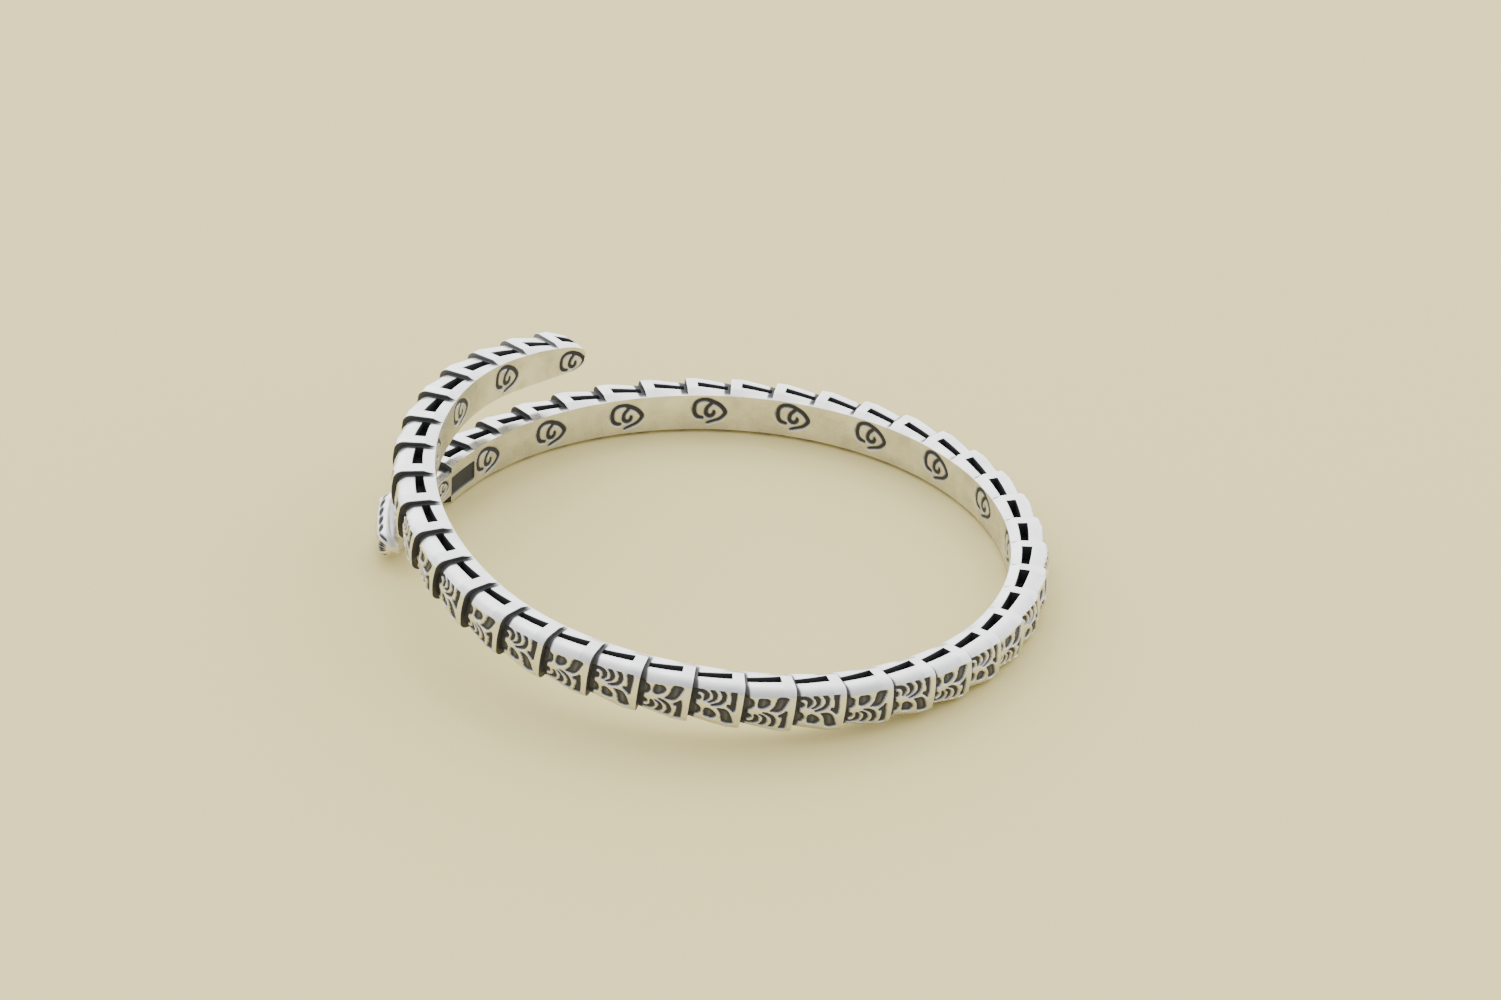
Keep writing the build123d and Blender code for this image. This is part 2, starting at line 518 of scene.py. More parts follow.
@dataclass(frozen=True)
class Relief:
    """Crescents and leaves cast into the outer face of a scale.

    The pattern is drawn on a field 48 units long, from the foot to the rim, and 31
    units high, from its top down. Its crescents run a little over both edges.
    """

    length: float = 48.0
    height: float = 31.0
    over: float = 2.0
    wall: float = 1.3
    swell: float = 0.5
    depth: float = 0.23
    # how much a leaf's floor is painted lighter, as a painted sheen
    leaf_sheen: float = 0.45
    # along, down, half width
    strokes: tuple = (
        ((2.8, -3.0, 2.2), (3.0, 3.0, 2.4), (2.6, 8.0, 3.0), (2.4, 13.0, 2.6), (2.2, 19.0, 2.0)),
        ((5.0, 8.0, 2.6), (7.2, 8.0, 2.7), (7.3, 8.1, 2.7)),
        ((5.0, 0.7, 1.5), (9.0, 0.3, 1.5), (12.9, 1.4, 1.8), (15.6, 3.7, 2.2), (16.2, 6.2, 2.1),
         (15.3, 8.6, 1.4), (14.4, 10.2, 0.7)),
        ((20.4, -1.2, 1.5), (22.9, 1.2, 1.9), (24.5, 4.0, 2.1), (24.6, 6.6, 1.8), (23.2, 8.9, 1.2),
         (21.0, 10.5, 0.8), (18.8, 11.4, 0.5)),
        ((29.6, -2.6, 1.5), (31.8, 0.0, 1.8), (33.5, 2.8, 1.95), (33.8, 5.6, 1.95), (32.8, 8.4, 1.8),
         (30.6, 10.8, 1.5), (27.5, 12.4, 1.2), (24.5, 13.5, 0.9), (22.0, 14.0, 0.5)),
        ((42.4, -3.0, 3.4), (43.4, 2.5, 2.7), (43.8, 8.0, 2.2), (43.6, 12.0, 2.2), (44.2, 16.4, 1.1)),
        ((38.8, 12.3, 1.2), (41.2, 13.3, 1.7), (43.6, 14.8, 1.6)),
    )
    leaves: tuple = (
        ((-2.0, 11.0), (3.5, 13.0), (6.2, 16.2), (9.2, 17.6), (11.2, 20.6), (11.2, 23.8), (9.6, 26.6),
         (6.4, 27.8), (4.2, 30.4), (-2.0, 30.6)),
        ((15.6, 19.8), (18.6, 18.2), (22.8, 19.6), (26.8, 22.6), (27.4, 26.0), (24.2, 28.4), (20.4, 28.2),
         (16.6, 28.0), (15.4, 23.6)),
        ((28.2, 16.6), (34.6, 16.2), (39.0, 17.8), (42.0, 21.6), (44.2, 26.0), (45.4, 29.4), (41.0, 30.4),
         (35.4, 30.0), (33.6, 26.2), (32.2, 21.6)),
    )
    streaks: tuple = (
        ((6.0, 20.0, 0.7), (6.6, 23.0, 1.1), (5.0, 26.6, 0.7)),
        ((20.6, 21.4, 0.7), (21.4, 24.0, 1.3), (20.8, 26.4, 0.7)),
        ((37.0, 19.8, 0.6), (38.2, 23.0, 1.3), (39.0, 27.0, 0.8)),
        ((41.6, 9.6, 0.4), (41.8, 11.6, 0.9)),
    )

    def recess(self, x: np.ndarray, y: np.ndarray) -> tuple[np.ndarray, np.ndarray]:
        """Find how deep the casting is recessed.

        Args:
            x: Places along the field.
            y: Places down the field.

        Returns:
            The share of the full depth, and how much painted sheen lightens the recess's floor.
        """
        cuts = np.minimum.reduce([stroke(x, y, rows) for rows in self.strokes])
        leaf = np.minimum.reduce([patch(x, y, corners) for corners in self.leaves])
        streak = np.minimum.reduce([stroke(x, y, rows) for rows in self.streaks])
        # A leaf's floor gets a painted sheen away from its walls, and most along its streak
        floor_sheen = np.maximum(self.leaf_sheen * step(leaf + 2.2, 2.6), step(streak - 0.4, 2.4))
        floor_sheen *= step(leaf + 0.4, 1.2)
        return step(np.minimum(cuts, leaf) - self.swell, self.wall), floor_sheen


@dataclass(frozen=True)
class Scroll:
    """Open volute engraved in the inner face."""

    depth: float = 0.13
    wall: float = 0.12
    swell: float = 0.07
    centres: tuple[ScrollPlace, ...] = (
        ScrollPlace(1.0, 0.3, 0.0), ScrollPlace(3.0, 0.1, 0.85), ScrollPlace(5.0, 0.05, 1.1),
        ScrollPlace(7.0, 0.2, 0.5), ScrollPlace(11.0, 0.32, 0.0), ScrollPlace(35.0, 0.32, 0.0),
        ScrollPlace(37.0, 0.31, 0.0), ScrollPlace(39.0, 0.22, 0.0), ScrollPlace(41.0, 0.03, 0.0),
        ScrollPlace(43.0, -0.03, 0.0), ScrollPlace(47.0, -0.04, 0.0))
    # along, up, half width
    strokes: tuple = (
        ((-0.66, -0.9, 0.13), (-1.12, -0.78, 0.17), (-1.4, -0.49, 0.17), (-1.53, -0.01, 0.17),
         (-1.49, 0.53, 0.17), (-1.31, 0.94, 0.17), (-0.9, 1.21, 0.17), (-0.43, 1.28, 0.17),
         (0.05, 1.22, 0.18), (0.54, 1.0, 0.2), (1.02, 0.75, 0.19), (1.4, 0.42, 0.18),
         (1.69, 0.01, 0.18), (1.73, -0.33, 0.17), (1.45, -0.74, 0.15), (1.1, -1.02, 0.14),
         (0.64, -1.21, 0.12), (0.17, -1.39, 0.11), (-0.13, -1.52, 0.07)),
        ((0.42, 0.95, 0.15), (0.14, 0.67, 0.16), (-0.15, 0.32, 0.16), (-0.28, -0.1, 0.16),
         (-0.23, -0.44, 0.17), (0.05, -0.67, 0.18), (0.37, -0.62, 0.18), (0.56, -0.33, 0.15),
         (0.55, -0.1, 0.09)),
    )

    def cut(self, along: np.ndarray, up: np.ndarray, number: np.ndarray) -> np.ndarray:
        """Find how deep the engraving is.

        Args:
            along: Places along the face towards the tail, from the scroll's middle.
            up: Heights from the middle of the band.
            number: Number of the scale that each place is on.

        Returns:
            The share of the full depth.
        """
        high = up - hermite(self.centres, "rise", number)
        far = along + hermite(self.centres, "shift", number)
        line = np.minimum.reduce([stroke(far, high, rows) for rows in self.strokes])
        return step(line - self.swell, self.wall)


def keep_mesh(name: str, bm: bmesh.types.BMesh) -> bpy.types.Mesh:
    """Turn a finished bmesh into a mesh.

    Args:
        name: Name of the mesh.
        bm: The bmesh. It is freed.

    Returns:
        The mesh.
    """
    mesh = bpy.data.meshes.new(name)
    bm.to_mesh(mesh)
    bm.free()
    return mesh


def put(name: str, data: bpy.types.ID) -> bpy.types.Object:
    """Put an object in the scene.

    Args:
        name: Name of the object.
        data: Its mesh, lamp or camera.

    Returns:
        The object, at the origin.
    """
    thing = bpy.data.objects.new(name, data)
    bpy.context.scene.collection.objects.link(thing)
    return thing


def lattice(name: str, points: np.ndarray, oxide: np.ndarray, polish: np.ndarray) -> bpy.types.Object:
    """Shape a grid into a closed tube with a capped end each way.

    Args:
        name: Name of the piece.
        points: Places in millimetres, by row along the band, column around it and axis.
        oxide: How black each place is, from 0 to 1.
        polish: How worn bright each place is, from 0 to 1.

    Returns:
        The piece, in the scene, with both values kept as attributes.
    """
    rows, columns = points.shape[0] - 1, points.shape[1] - 1
    bm = bmesh.new()
    bmesh.ops.create_grid(bm, x_segments=columns, y_segments=rows, size=1.0)
    mesh = keep_mesh(name, bm)
    flat = np.empty(len(mesh.vertices) * 3)
    mesh.vertices.foreach_get("co", flat)
    column = np.rint((flat[0::3] - flat[0::3].min()) / np.ptp(flat[0::3]) * columns).astype(int)
    row = np.rint((flat[1::3] - flat[1::3].min()) / np.ptp(flat[1::3]) * rows).astype(int)
    mesh.vertices.foreach_set("co", (points[row, column] * MM).ravel())
    # A thin film of oxide already hides most of the silver
    film = 1 - (1 - np.clip(oxide, 0.0, 1.0)) ** 2
    for label, values in (("oxide", film), ("polish", np.clip(polish, 0.0, 1.0))):
        layer = mesh.attributes.new(label, "FLOAT", "POINT")
        layer.data.foreach_set("value", values[row, column].astype(np.float32))
    bm = bmesh.new()
    bm.from_mesh(mesh)
    bmesh.ops.remove_doubles(bm, verts=bm.verts, dist=SEAM)
    bmesh.ops.dissolve_degenerate(bm, dist=SLIVER, edges=bm.edges)
    bmesh.ops.holes_fill(bm, edges=[edge for edge in bm.edges if edge.is_boundary], sides=0)
    bmesh.ops.recalc_face_normals(bm, faces=bm.faces)
    bm.to_mesh(mesh)
    bm.free()
    mesh.shade_smooth()
    mesh.set_sharp_from_angle(angle=CREASE)
    return put(name, mesh)


@dataclass(frozen=True)
class Wiring:
    """Adds nodes to a node tree, each with its inputs set or linked."""

    tree: bpy.types.NodeTree

    def feed(self, node: bpy.types.Node, inputs: dict[str | int, object]) -> None:
        """Set or link a node's inputs.

        Args:
            node: Node to feed.
            inputs: For each input, the value to set or the socket to link from.
        """
        for label, value in inputs.items():
            if isinstance(value, bpy.types.NodeSocket):
                self.tree.links.new(value, node.inputs[label])
            else:
                node.inputs[label].default_value = value

    def add(self, kind: str, inputs: dict[str | int, object], output: str = "Result",
            **settings: str) -> bpy.types.NodeSocket:
        """Add a node.

        Args:
            kind: The node's type, without the words that all types start with.
            inputs: For each input, the value to set or the socket to link from.
            output: Name of the output that is wanted.
            settings: The node's own settings.

        Returns:
            The output's socket.
        """
        node = self.tree.nodes.new(f"ShaderNode{kind}")
        for label, value in settings.items():
            setattr(node, label, value)
        self.feed(node, inputs)
        return node.outputs[output]

    def mix(self, factor: bpy.types.NodeSocket, first: object, second: object) -> bpy.types.NodeSocket:
        """Mix two colours, each of them a value or a socket."""
        return self.add("Mix", {"Factor": factor, "A": first, "B": second}, data_type="RGBA")

    def span(self, value: bpy.types.NodeSocket, low: float, high: float) -> bpy.types.NodeSocket:
        """Take a value from 0 to 1 onto low to high."""
        return self.add("MapRange", {"Value": value, "To Min": low, "To Max": high})


@dataclass(frozen=True)
class SilverFinish:
    """Cast silver, polished by hand where it stands high and oxidised where it lies deep."""

    bright: tuple[float, float, float, float] = (0.79, 0.785, 0.77, 1.0)
    satin: tuple[float, float, float, float] = (0.60, 0.585, 0.55, 1.0)
    black: tuple[float, float, float, float] = (0.026, 0.029, 0.036, 1.0)
    brown: tuple[float, float, float, float] = (0.05, 0.047, 0.042, 1.0)
    bright_roughness: float = 0.2
    satin_roughness: float = 0.32
    black_roughness: float = 0.62
    black_specular: float = 0.2
    black_metal: float = 0.25
    cloud: Noise = Noise(420.0, 3.0)
    waves: Noise = Noise(260.0, 1.0, strength=0.4, height=0.0004)
    grain: Noise = Noise(5200.0, 4.0, strength=0.15, height=0.00003)
    # the cloud's value where the silver is bright, and where it is satin
    patina_range: tuple[float, float] = (0.35, 0.7)

    def build(self, name: str) -> bpy.types.Material:
        """Make the material from its nodes.

        Args:
            name: Name of the material.

        Returns:
            The finished material.
        """
        material = bpy.data.materials.new(name)
        material.use_nodes = True
        wiring = Wiring(material.node_tree)
        oxide = wiring.add("Attribute", {}, "Fac", attribute_name="oxide")
        polish = wiring.add("Attribute", {}, "Fac", attribute_name="polish")
        cloud, waves, grain = self.textures(wiring)
        low, high = self.patina_range
        patina = wiring.add("MapRange", {"Value": cloud, "From Min": low, "From Max": high})
        silver = wiring.mix(polish, wiring.mix(patina, self.bright, self.satin), self.bright)
        soot = wiring.mix(grain, self.black, self.brown)
        smooth = wiring.span(patina, self.bright_roughness, self.satin_roughness)
        wiring.feed(material.node_tree.nodes["Principled BSDF"], {
            "Base Color": wiring.mix(oxide, silver, soot),
            "Roughness": wiring.add("Mix", {"Factor": oxide, "A": smooth, "B": self.black_roughness}),
            "Metallic": wiring.span(oxide, 1.0, self.black_metal),
            "Specular IOR Level": self.black_specular,
            "Normal": self.bumps(wiring, waves, grain),
        })
        return material

    def textures(self, wiring: Wiring) -> list[bpy.types.NodeSocket]:
        """Add the noise that the finish is made of, in the piece's own coordinates.

        Args:
            wiring: Where to add it.

        Returns:
            The cloud, the waves and the grain.
        """
        place = wiring.add("TexCoord", {}, "Object")
        return [wiring.add("TexNoise", {"Vector": place, "Scale": noise.scale, "Detail": noise.detail}, "Fac")
                for noise in (self.cloud, self.waves, self.grain)]

    def bumps(self, wiring: Wiring, waves: bpy.types.NodeSocket,
              grain: bpy.types.NodeSocket) -> bpy.types.NodeSocket:
        """Bend the surface's normal: soft waves of the casting, with a fine grain on them.

        Args:
            wiring: Where to add the bumps.
            waves: Height of the waves.
            grain: Height of the grain.

        Returns:
            The normal.
        """
        soft = wiring.add("Bump", {"Height": waves, "Strength": self.waves.strength,
                                   "Distance": self.waves.height}, "Normal")
        return wiring.add("Bump", {"Height": grain, "Strength": self.grain.strength,
                                   "Distance": self.grain.height, "Normal": soft}, "Normal")


def dress(piece: bpy.types.Object, material: bpy.types.Material) -> bpy.types.Object:
    """Give a piece its finish and fix it to the cuff.

    Args:
        piece: Piece to dress.
        material: Its finish.

    Returns:
        The same piece.
    """
    piece.data.materials.clear()
    piece.data.materials.append(material)
    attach(piece, "root")
    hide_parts("cuff")
    return piece


@dataclass(frozen=True)
class Rings:
    """Rings of the band, one value for each.

    places counts scales from the tail, shares is the share of the scale's length, and
    numbers is the scale's number. slots is 1 where the slots are open, and dark is 1 at
    the dark edge of a slot's end or of the step.
    """

    places: np.ndarray
    shares: np.ndarray
    numbers: np.ndarray
    slots: np.ndarray
    dark: np.ndarray


def slotted_rings(places: np.ndarray, first: float, last: float) -> list[tuple[float, float, float]]:
    """Lay out the rings of a part that has a slot in each edge.

    Args:
        places: Rings of its body, in scales.
        first: Place where the slots start.
        last: Place where they end.

    Returns:
        Each ring's place, 1 where the slots are open, and 1 at the dark edge of their ends.
    """
    rings = [(place, float(first < place < last), 0.0) for place in places
             if min(abs(place - first), abs(place - last)) > RING_CLEAR]
    for end, inward in ((first, 1), (last, -1)):
        rings += [(end - RING_GAP * inward, 0.0, 0.0), (end, 0.0, 1.0), (end + HAIR * inward, 1.0, 1.0)]
    return rings


@dataclass
class Band:
    """Run of scales between the tail tip and the neck."""

    route: Route
    material: bpy.types.Material
    pitch: float = 4.43
    collar_length: float = 1.08
    band_height: float = 4.9
    inner_bevel: float = 1.1
    edge_radius: float = 1.1
    outer_crown: float = 0.12
    foot_drop: float = 0.42
    foot_set_back: float = 0.48
    slot_foot_share: float = 0.74
    slots: tuple[SlotSize, ...] = (
        SlotSize(1.0, 0.92, 1.5), SlotSize(2.0, 0.92, 1.4), SlotSize(4.0, 0.98, 1.32),
        SlotSize(6.0, 1.12, 1.2), SlotSize(8.0, 1.24, 1.05), SlotSize(13.0, 1.28, 1.0),
        SlotSize(18.0, 1.25, 1.0), SlotSize(19.5, 1.1, 1.0), SlotSize(21.0, 1.03, 1.02),
        SlotSize(25.0, 1.08, 1.05), SlotSize(30.0, 1.1, 1.0), SlotSize(35.0, 1.08, 0.94),
        SlotSize(37.0, 1.34, 0.94), SlotSize(40.0, 1.28, 0.98), SlotSize(41.5, 1.04, 1.05),
        SlotSize(43.0, 0.95, 1.12), SlotSize(47.0, 0.92, 1.2))
    slot_depth: float = 1.65
    slot_end_gap: float = 0.3
    # least width of the flat ledge between the inner bevel and a slot
    ledge: float = 0.08
    relief_half: float = 1.71
    rim_start: float = 0.905
    end_round: float = 0.05
    wall_drop: float = 0.01
    # oxide on the wall behind each collar, and the reach of the painted shade that spreads from the step over
    # the next foot
    steps: tuple[StepShade, ...] = (
        StepShade(1.0, 0.52, 0.38), StepShade(3.0, 0.57, 0.4), StepShade(6.0, 0.8, 0.54),
        StepShade(12.0, 0.82, 0.52), StepShade(17.0, 0.72, 0.36), StepShade(33.0, 0.72, 0.36),
        StepShade(38.0, 0.8, 0.6), StepShade(43.0, 0.84, 0.82), StepShade(47.0, 0.85, 0.86))
    scroll_place: float = 0.75
    # how far the surface is drawn in, but for the inner face
    skin: float = 0.012
    # oxide and polish set in around this distance from the inner face, over this width
    inner_clear: float = 0.32
    inner_fade: float = 0.36
    edge_polish: float = 0.4
    land_polish: float = 0.8
    relief_film: float = 0.85
    engraved_film: float = 0.9
    # how far each scale's relief sits off its place by hand, along and down its field
    sway: tuple[float, float] = (0.3, 0.25)
    panel: Panel = Panel(45.27, 46.21, -1.22, 0.66)
    runs: tuple[tuple[int, int], ...] = ((2, 10), (11, 19), (20, 28), (29, 37), (38, 46))
    relief: Relief = Relief()
    scroll: Scroll = Scroll()
    maker: OutlineMaker = OutlineMaker()
    seed: int = 7

    @property
    def funnel(self) -> float:
        """Share of a scale's length before its collar."""
        return 1 - self.collar_length / self.pitch

    def stations(self) -> tuple[np.ndarray, np.ndarray, np.ndarray]:
        """Lay out the rings of one scale.

        Returns:
            Each ring's share of the scale's length, 1 where its slots are open, and 1
            where it is the dark edge of a slot's end or of the step.
        """
        body = np.linspace(0.0, self.rim_start, 43)[1:]
        rings = slotted_rings(body, self.slot_end_gap / self.pitch, self.funnel)
        rings += [(1 - self.end_round / self.pitch * part, 0.0, 0.0)
                  for part in (4.0, 2.5, 1.6, 1.0, 0.6, 0.25, 0.0)]
        rings += [(0.0, 0.0, 1.0), (0.03, 0.0, 0.0), (1.0 + HAIR, 0.0, 1.0)]
        shares, slots, dark = np.array(sorted(rings)).T
        return shares, slots, dark

    def section(self, rings: Rings) -> Section:
        """Size the band's section.

        Args:
            rings: Rings of the band.

        Returns:
            The section at each ring.
        """
        shares = rings.shares
        grown = np.clip(shares / self.funnel, 0.0, 1.0)
        size = self.route.share("height", rings.places)
        full = self.route.band_thickness * self.route.share("thickness", rings.places)
        half = (self.band_height / 2 - self.foot_drop * (1 - grown)) * size
        thickness = full - self.foot_set_back * (1 - grown)
        wall = hermite(self.slots, "wall", rings.numbers)
        open_from = self.slot_end_gap / self.pitch
        opened = np.clip((shares - open_from) / (self.funnel - open_from), 0.0, 1.0)
        widened = self.slot_foot_share + (1 - self.slot_foot_share) * opened
        sink = np.clip(1 - (1 - shares) * self.pitch / self.end_round, 0.0, 1.0)
        inset = self.end_round * (1 - np.sqrt(np.maximum(0.0, 1 - sink ** 2)))
        return Section(
            half=half, inner_half=(self.band_height / 2 - self.foot_drop) * size, thickness=thickness,
            bevel=np.minimum(self.inner_bevel * thickness / self.route.band_thickness, wall - self.ledge),
            radius=self.edge_radius * size, crown=self.outer_crown * half * 2 / self.band_height,
            relief_half=self.relief_reach() * half * 2 / self.band_height,
            slot_wall=wall, slot_width=hermite(self.slots, "width", rings.numbers) * widened * size,
            slot_floor=(self.band_height / 2 - self.slot_depth) * size, slot_open=rings.slots,
            inset=self.skin + inset + self.wall_drop * (shares > 1.0))

    def relief_reach(self) -> float:
        """Half of the relief's height, with what it runs over both edges."""
        return self.relief_half * (1 + 2 * self.relief.over / self.relief.height)

    def off_inner(self, outline: Outline) -> np.ndarray:
        """Find the points away from the inner face: 0 on it, and 1 away from it."""
        return step(self.inner_clear - outline.outwards, self.inner_fade)

    def carve(self, outline: Outline, rings: Rings) -> None:
        """Carve the outer and the inner face, and lay the oxide and the polish.

        Args:
            outline: Points around each ring.
            rings: Rings of the band.
        """
        self.carve_relief(outline, rings)
        self.carve_scroll(outline, rings)
        self.carve_panel(outline, rings)
        self.lay_oxide(outline, rings)
        outline.shine(step((self.pitch * (1 - rings.shares))[:, None] - 0.22, 0.3) * self.off_inner(outline))

    def carve_relief(self, outline: Outline, rings: Rings) -> None:
        """Sink the crescents and leaves into the outer face, with those of every other
        scale upside down, and polish what stands high.

        Args:
            outline: Points around each ring.
            rings: Rings of the band.
        """
        relief = self.relief
        outline.shine(self.edge_polish * (np.abs(outline.normal_up) > 0.7))
        columns = outline.relief_columns()
        across = outline.relief_place[:, columns]
        hand = np.random.default_rng(self.seed).normal(0.0, 1.0, (64, 2))[rings.numbers]
        facing = np.where(rings.numbers % 2 == 0, Facing.CRESCENTS_UP.value, Facing.CRESCENTS_DOWN.value)
        middle = relief.height / 2
        x = (rings.shares / self.rim_start * relief.length + self.sway[0] * hand[:, 0])[:, None] + 0 * across
        y = middle - facing[:, None] * across * (middle + relief.over) + self.sway[1] * hand[:, 1:]
        mask, floor_sheen = relief.recess(x, y)
        # It ends at the rim, and softly at its top and bottom
        mask = mask * step((rings.shares[:, None] - self.rim_start) * relief.length, 1.0)
        mask = mask * step(np.abs(across) - 0.97, 0.06)
        # Where the floor has its painted sheen it is also cast a little shallower, and its oxide is painted
        # thinner
        outline.sink(relief.depth * mask * (1 - 0.3 * floor_sheen), columns)
        outline.blacken(np.clip(mask * 1.5 - 0.2, 0.0, self.relief_film) * (1 - 0.22 * floor_sheen), columns)
        outline.shine((1 - mask) * self.land_polish, columns)

    def carve_scroll(self, outline: Outline, rings: Rings) -> None:
        """Engrave a scroll in the inner face of every odd scale.

        Args:
            outline: Points around each ring.
            rings: Rings of the band.
        """
        columns = outline.inner_columns()
        up = outline.inner_place[:, columns]
        nearest = 2 * np.rint((rings.places - self.scroll_place) / 2) + 1
        along = (nearest - 1 + self.scroll_place - rings.places)[:, None] * self.pitch + 0 * up
        cut = self.scroll.cut(along, up, nearest[:, None] + 0 * up) * (nearest > 1)[:, None]
        outline.sink(cut * self.scroll.depth, columns)
        outline.blacken(cut * self.engraved_film, columns)

    def carve_panel(self, outline: Outline, rings: Rings) -> None:
        """Sink the plain dark panel into the inner face of the scale that carries it.

        Args:
            outline: Points around each ring.
            rings: Rings of the band.
        """
        panel = self.panel
        if not rings.numbers[0] <= panel.last <= rings.numbers[-1] + 1:
            return
        columns = outline.inner_columns()
        up = outline.inner_place[:, columns]
        past = np.abs(rings.places - (panel.first + panel.last) / 2) - (panel.last - panel.first) / 2
        over = np.abs(up - (panel.low + panel.high) / 2) - (panel.high - panel.low) / 2
        beyond = np.hypot((np.maximum(past, 0.0) * self.pitch)[:, None], np.maximum(over, 0.0))
        outline.sink(step(beyond - 0.06, 0.12) * self.scroll.depth, columns)
        outline.blacken(step(beyond - 0.14, 0.08) * self.engraved_film, columns)

    def lay_oxide(self, outline: Outline, rings: Rings) -> None:
        """Blacken the slots and the step behind each collar with oxide, and paint shade from the step over
        the foot past it.

        Args:
            outline: Points around each ring.
            rings: Rings of the band.
        """
        off_inner = self.off_inner(outline)
        off_step = np.abs(rings.shares - 0.5) < 0.49
        outline.blacken(outline.slot * np.maximum(rings.slots, rings.dark * off_step)[:, None])
        # Behind the last collar the step goes right across to the inner face
        last = (rings.numbers == self.runs[-1][1]) & (rings.shares > 1.0)
        film = hermite(self.steps, "film", rings.numbers)[:, None]
        outline.blacken(((rings.dark > 0) & ~off_step)[:, None] * np.maximum(off_inner, last[:, None]) * film)
        # Painted shade from the step over the next foot, on top of the oxide in the step: it fades away from
        # the wall and reaches farther on faces that turn outwards
        farther_shade = 0.2 * np.clip(outline.normal_out, 0.0, 1.0)
        reach = hermite(self.steps, "reach", rings.numbers)[:, None] + farther_shade
        outline.blacken(step(rings.shares[:, None] * self.pitch - reach, 0.2) * off_inner * (film + 0.04))

    def cast(self, name: str, outline: Outline, places: np.ndarray,
             lift: np.ndarray | float = 0.0) -> bpy.types.Object:
        """Make a finished piece of an outline.

        Args:
            name: Name of the piece.
            outline: Points around each ring.
            places: Rings, counted in scales from the tail.
            lift: How far to raise each ring.

        Returns:
            The piece.
        """
        points = self.route.place(places, outline.outwards, outline.upwards)
        points[:, :, 2] += lift
        return dress(lattice(name, points, outline.oxide, outline.polish), self.material)

    def build(self) -> list[bpy.types.Object]:
        """Build the runs of scales.

        Returns:
            One piece for each run.
        """
        pieces = []
        stations = self.stations()
        for first, last in self.runs:
            numbers = np.repeat(np.arange(first, last + 1), len(stations[0]))
            shares, slots, dark = (np.tile(values, last - first + 1) for values in stations)
            places = numbers - 1 + self.collar_length / self.pitch + shares
            rings = Rings(places, shares, numbers, slots, dark)
            outline = self.maker.outline(self.section(rings))
            self.carve(outline, rings)
            pieces.append(self.cast(f"scales_{first}_{last}", outline, places))
        return pieces


